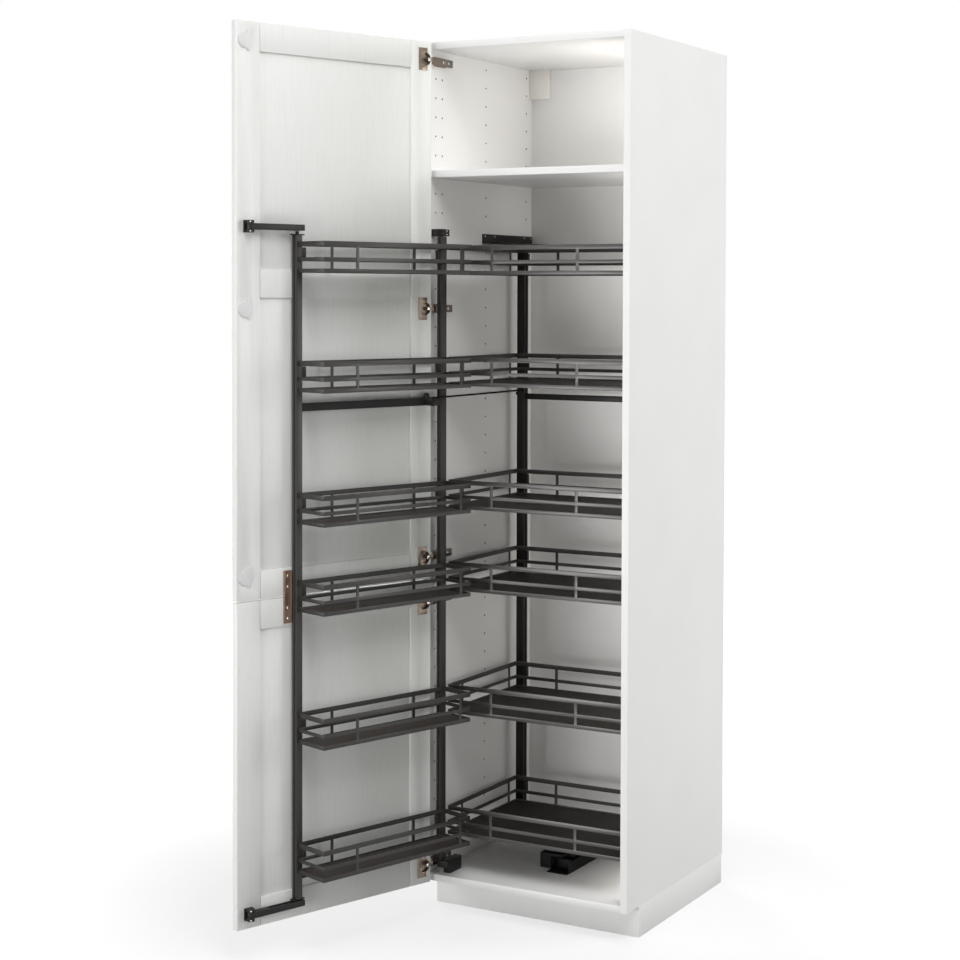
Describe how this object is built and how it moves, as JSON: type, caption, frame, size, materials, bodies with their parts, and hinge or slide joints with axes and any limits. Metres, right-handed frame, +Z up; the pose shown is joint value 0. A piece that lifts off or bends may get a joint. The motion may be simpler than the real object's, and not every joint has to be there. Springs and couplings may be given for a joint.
{
  "type": "tall kitchen cabinet",
  "caption": "Tall white kitchen cabinet with a split framed door and a dark wire-railed larder: trays on a rack that swings out with the door and a rack behind it that is drawn forward.",
  "frame": {"origin": "middle of the underside of the plinth front board, on the floor", "axes": "+X to the right seen from the front, +Y towards the wall, +Z up"},
  "size_m": [0.7832, 1.177, 2.28],
  "materials": {
    "white_board": "smooth melamine",
    "door_board": "painted wood effect",
    "dark_profile": "anthracite anodised",
    "dark_rail": "anthracite satin",
    "tray_floor": "dark matt",
    "black_fitting": "black moulded",
    "black_steel": "black satin",
    "hinge_steel": "nickel plated",
    "copper_steel": "copper-brown plated",
    "white_plastic": "white moulded"
  },
  "bodies": {
    "carcass": {"back_panel": "white_board", "bottom_panel": "white_board", "fixed_shelf": "white_board", "front_floor_bracket": "black_steel", "front_plinth": "white_board", "front_top_bracket": "black_steel", "hinge_arms": "hinge_steel", "hinge_mounting_plates": "hinge_steel", "hinge_plate_screws": "hinge_steel", "left_side_panel": "white_board", "leg_feet": "black_fitting", "leg_stems": "black_fitting", "plinth_clips": "black_fitting", "plinth_returns": "white_board", "rear_floor_track": "black_steel", "rear_top_guide": "black_steel", "right_side_panel": "white_board", "shelf_pins": "hinge_steel", "top_panel": "white_board", "wall_bracket_covers": "white_plastic", "wall_brackets": "black_steel"},
    "door": {"guide_arm_brackets": "black_steel", "hinge_cups": "hinge_steel", "leaf_connector": "copper_steel", "leaf_connector_screws": "copper_steel", "leaf_infills": "door_board", "lower_leaf_free_stile": "door_board", "lower_leaf_hinge_stile": "door_board", "lower_leaf_rails": "door_board", "spare_hole_plugs": "white_plastic", "upper_leaf_free_stile": "door_board", "upper_leaf_hinge_stile": "door_board", "upper_leaf_rails": "door_board"},
    "hinge_links": {"hinge_links": "hinge_steel"},
    "guide_arms": {"guide_arms": "black_steel"},
    "front_rack": {"front_cross_bars": "dark_rail", "front_free_post": "dark_profile", "front_pivot_post": "dark_profile", "front_post_fittings": "black_steel", "front_tray_1": "dark_rail", "front_tray_2": "dark_rail", "front_tray_3": "dark_rail", "front_tray_4": "dark_rail", "front_tray_5": "dark_rail", "front_tray_6": "dark_rail", "front_tray_clamps": "black_fitting", "front_tray_floors": "tray_floor"},
    "rear_rack": {"rear_carriage": "black_fitting", "rear_cross_bar": "dark_rail", "rear_post_fittings": "black_steel", "rear_posts": "dark_profile", "rear_tray_1": "dark_rail", "rear_tray_2": "dark_rail", "rear_tray_3": "dark_rail", "rear_tray_4": "dark_rail", "rear_tray_5": "dark_rail", "rear_tray_6": "dark_rail", "rear_tray_clamps": "black_fitting", "rear_tray_floors": "tray_floor"},
    "link_rod": {"link_rod": "dark_rail"}
  },
  "joints": [
    {"name": "door_hinge", "type": "hinge", "parent": "carcass", "child": "door", "pos_m": [-0.2865, -0.1005, 0], "axis": [0, 0, 1], "range_deg": [0, 109.5]},
    {"name": "hinge_link_turn", "type": "hinge", "parent": "carcass", "child": "hinge_links", "pos_m": [-0.2865, -0.1005, 0], "axis": [0, 0, 1], "range_deg": [0, 54.76]},
    {"name": "guide_arm_turn", "type": "hinge", "parent": "door", "child": "guide_arms", "pos_m": [-0.44234, -0.63196, 0], "axis": [0, 0, 1], "range_deg": [-8.01, 0]},
    {"name": "front_rack_swing", "type": "hinge", "parent": "carcass", "child": "front_rack", "pos_m": [-0.255, -0.062, 0], "axis": [0, 0, 1], "range_deg": [0, 108.01]},
    {"name": "rear_rack_slide", "type": "slide", "parent": "carcass", "child": "rear_rack", "axis": [0, 1, 0], "range_m": [0, 0.10501]},
    {"name": "link_rod_turn", "type": "hinge", "parent": "rear_rack", "child": "link_rod", "pos_m": [-0.2385, 0.322, 0], "axis": [0, 0, 1], "range_deg": [0, 4.66]}
  ],
  "couplings": [
    {"joint": "hinge_link_turn", "follows": "door_hinge", "ratio": 0.5},
    {"joint": "guide_arm_turn", "follows": "door_hinge", "ratio": -0.073059},
    {"joint": "front_rack_swing", "follows": "door_hinge", "ratio": 0.9863},
    {"joint": "rear_rack_slide", "follows": "door_hinge", "m_per_rad": 0.054941},
    {"joint": "link_rod_turn", "follows": "door_hinge", "ratio": 0.042466}
  ]
}
